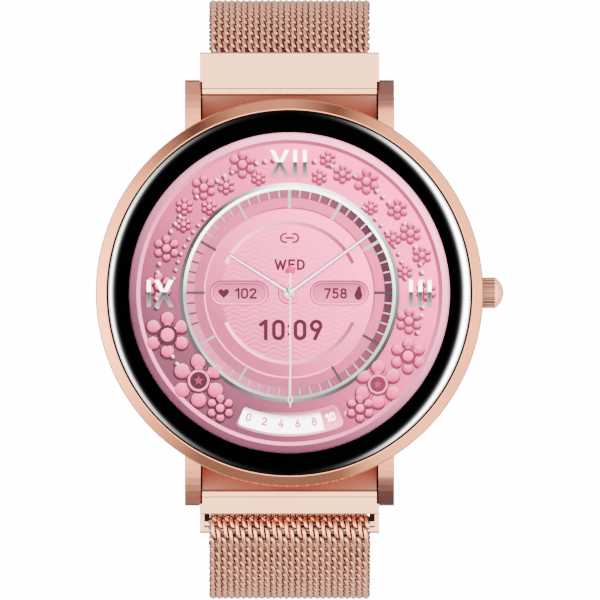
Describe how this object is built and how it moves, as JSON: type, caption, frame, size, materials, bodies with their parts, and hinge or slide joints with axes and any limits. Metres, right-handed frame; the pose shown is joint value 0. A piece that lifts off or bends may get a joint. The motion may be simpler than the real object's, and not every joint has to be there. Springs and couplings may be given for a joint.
{
  "type": "smartwatch",
  "caption": "Round smartwatch with a crown, four lugs and a closed woven-mesh strap that folds back through a loop frame and holds with a magnetic clasp.",
  "frame": {"origin": "centre of the flat of the rear sensor window, the lowest face of the case back", "axes": "+Z is the dial normal away from the wrist, +Y is twelve o'clock, +X is the crown side"},
  "size_m": [0.0459, 0.0679, 0.0494],
  "materials": {
    "case_metal": "rose gold plated steel, satin",
    "bezel_metal": "rose gold plated steel, polished",
    "link_metal": "rose gold plated steel, polished",
    "clasp_metal": "rose gold plated steel, satin",
    "crown_metal": "rose gold plated steel, polished and knurled",
    "mesh_metal": "rose gold plated woven steel wire",
    "glass": "clear, curved edge",
    "seal": "matt black",
    "black_print": "black print under the glass",
    "screen": "display panel with a pink dial",
    "flex": "polyimide film",
    "chassis": "moulded",
    "board": "solder mask",
    "chips": "moulded package",
    "tin": "stamped sheet",
    "cell": "foil pouch",
    "lead": "insulated wire",
    "gold_plate": "gold plated",
    "tungsten": "sintered",
    "led": "clear lens",
    "sensor_glass": "dark sensor window",
    "back_plastic": "fine satin",
    "steel": "turned steel",
    "spring_steel": "drawn wire",
    "magnet": "nickel plated",
    "plunger_plastic": "moulded"
  },
  "bodies": {
    "case": {"mid_case": "case_metal", "bezel_ring": "bezel_metal", "cover_glass": "glass", "glass_gasket": "seal", "black_border": "black_print", "display_panel": "screen", "display_flex": "flex", "inner_chassis": "chassis", "main_board": "board", "board_chips": "chips", "shield_can": "tin", "battery": "cell", "battery_lead": "lead", "antenna_ring": "gold_plate", "motor_can": "tin", "speaker": "chassis", "microphone": "gold_plate", "sensor_board": "board", "sensor_leds": "led", "sensor_window": "sensor_glass", "rear_cover": "back_plastic", "rear_gasket": "seal", "rear_screws": "steel", "charging_contacts": "gold_plate", "crown_tube": "steel", "encoder_sensor": "chips", "push_switch": "chips"},
    "motor": {"motor_rotor": "tungsten"},
    "plunger": {"switch_plunger": "plunger_plastic"},
    "crown": {"crown_cap": "crown_metal", "crown_stem": "steel", "crown_o_ring": "seal", "crown_clip": "steel", "encoder_magnet": "magnet"},
    "strap_upper": {"end_link": "link_metal", "upper_liners": "seal", "upper_bar_tube": "steel", "upper_fixed_pin": "steel", "upper_bar_spring": "spring_steel", "upper_mesh": "mesh_metal"},
    "release_upper": {"upper_release_pin": "steel"},
    "strap_upper_side": {"upper_side_mesh": "mesh_metal"},
    "strap_floor": {"floor_mesh": "mesh_metal"},
    "strap_lower": {"loop_frame": "link_metal", "lower_liners": "seal", "slot_guides": "seal", "lower_bar_tube": "steel", "lower_fixed_pin": "steel", "lower_bar_spring": "spring_steel", "lower_mesh": "mesh_metal", "folded_mesh": "mesh_metal"},
    "release_lower": {"lower_release_pin": "steel"},
    "strap_lower_side": {"lower_side_mesh": "mesh_metal"},
    "tail": {"tail_mesh": "mesh_metal"},
    "tail_end": {"tail_end_mesh": "mesh_metal", "clasp_body": "clasp_metal", "clasp_magnets": "magnet", "clasp_cover": "clasp_metal"}
  },
  "joints": [
    {"name": "strap_flex", "type": "hinge", "parent": "case", "child": "strap_upper", "pos_m": [0, 0.0221, 0.0028], "axis": [1, 0, 0], "range_deg": [-5, 8]},
    {"name": "upper_side_flex", "type": "hinge", "parent": "strap_upper", "child": "strap_upper_side", "pos_m": [0, 0.0327, -0.0145], "axis": [1, 0, 0], "range_deg": [-14.52, 9.19]},
    {"name": "floor_flex", "type": "hinge", "parent": "strap_upper_side", "child": "strap_floor", "pos_m": [0, 0.01769, -0.03675], "axis": [1, 0, 0], "range_deg": [-4.19, 6.52]},
    {"name": "lower_bar_flex", "type": "hinge", "parent": "case", "child": "strap_lower", "pos_m": [0, -0.0221, 0.0028], "axis": [-1, 0, 0], "range_deg": [-5.3, 8.3]},
    {"name": "lower_side_flex", "type": "hinge", "parent": "strap_lower", "child": "strap_lower_side", "pos_m": [0, -0.0327, -0.0145], "axis": [-1, 0, 0], "range_deg": [-14.52, 9.19]},
    {"name": "tail_peel", "type": "hinge", "parent": "strap_lower", "child": "tail", "pos_m": [0, -0.02815, 0.004], "axis": [-1, 0, 0], "range_deg": [0, 60]},
    {"name": "tail_flex", "type": "hinge", "parent": "tail", "child": "tail_end", "pos_m": [0, -0.0327, -0.0145], "axis": [-1, 0, 0], "range_deg": [-14.52, 9.19]},
    {"name": "upper_release", "type": "slide", "parent": "strap_upper", "child": "release_upper", "axis": [-1, 0, 0], "range_m": [0, 0.0012], "stiffness_N_per_m": 600, "springref_m": -0.0015, "deforming": ["upper_bar_spring"]},
    {"name": "lower_release", "type": "slide", "parent": "strap_lower", "child": "release_lower", "axis": [-1, 0, 0], "range_m": [0, 0.0012], "stiffness_N_per_m": 600, "springref_m": -0.0015, "deforming": ["lower_bar_spring"]},
    {"name": "crown_push", "type": "slide", "parent": "case", "child": "plunger", "axis": [-1, 0, 0], "range_m": [0, 0.0004], "stiffness_N_per_m": 3000, "springref_m": -0.0006},
    {"name": "crown_turn", "type": "hinge", "parent": "plunger", "child": "crown", "pos_m": [0.02, 0, 0.0052], "axis": [1, 0, 0], "continuous": true},
    {"name": "motor_spin", "type": "hinge", "parent": "case", "child": "motor", "pos_m": [0, -0.0141, 0.004], "axis": [0, 0, 1], "continuous": true}
  ],
  "couplings": [
    {"joint": "upper_side_flex", "follows": "strap_flex", "ratio": -1.7774},
    {"joint": "floor_flex", "follows": "strap_flex", "ratio": 0.77744},
    {"joint": "lower_bar_flex", "follows": "strap_flex", "ratio": 1},
    {"joint": "lower_side_flex", "follows": "strap_flex", "ratio": -1.7774},
    {"joint": "tail_flex", "follows": "strap_flex", "ratio": -1.7774}
  ]
}
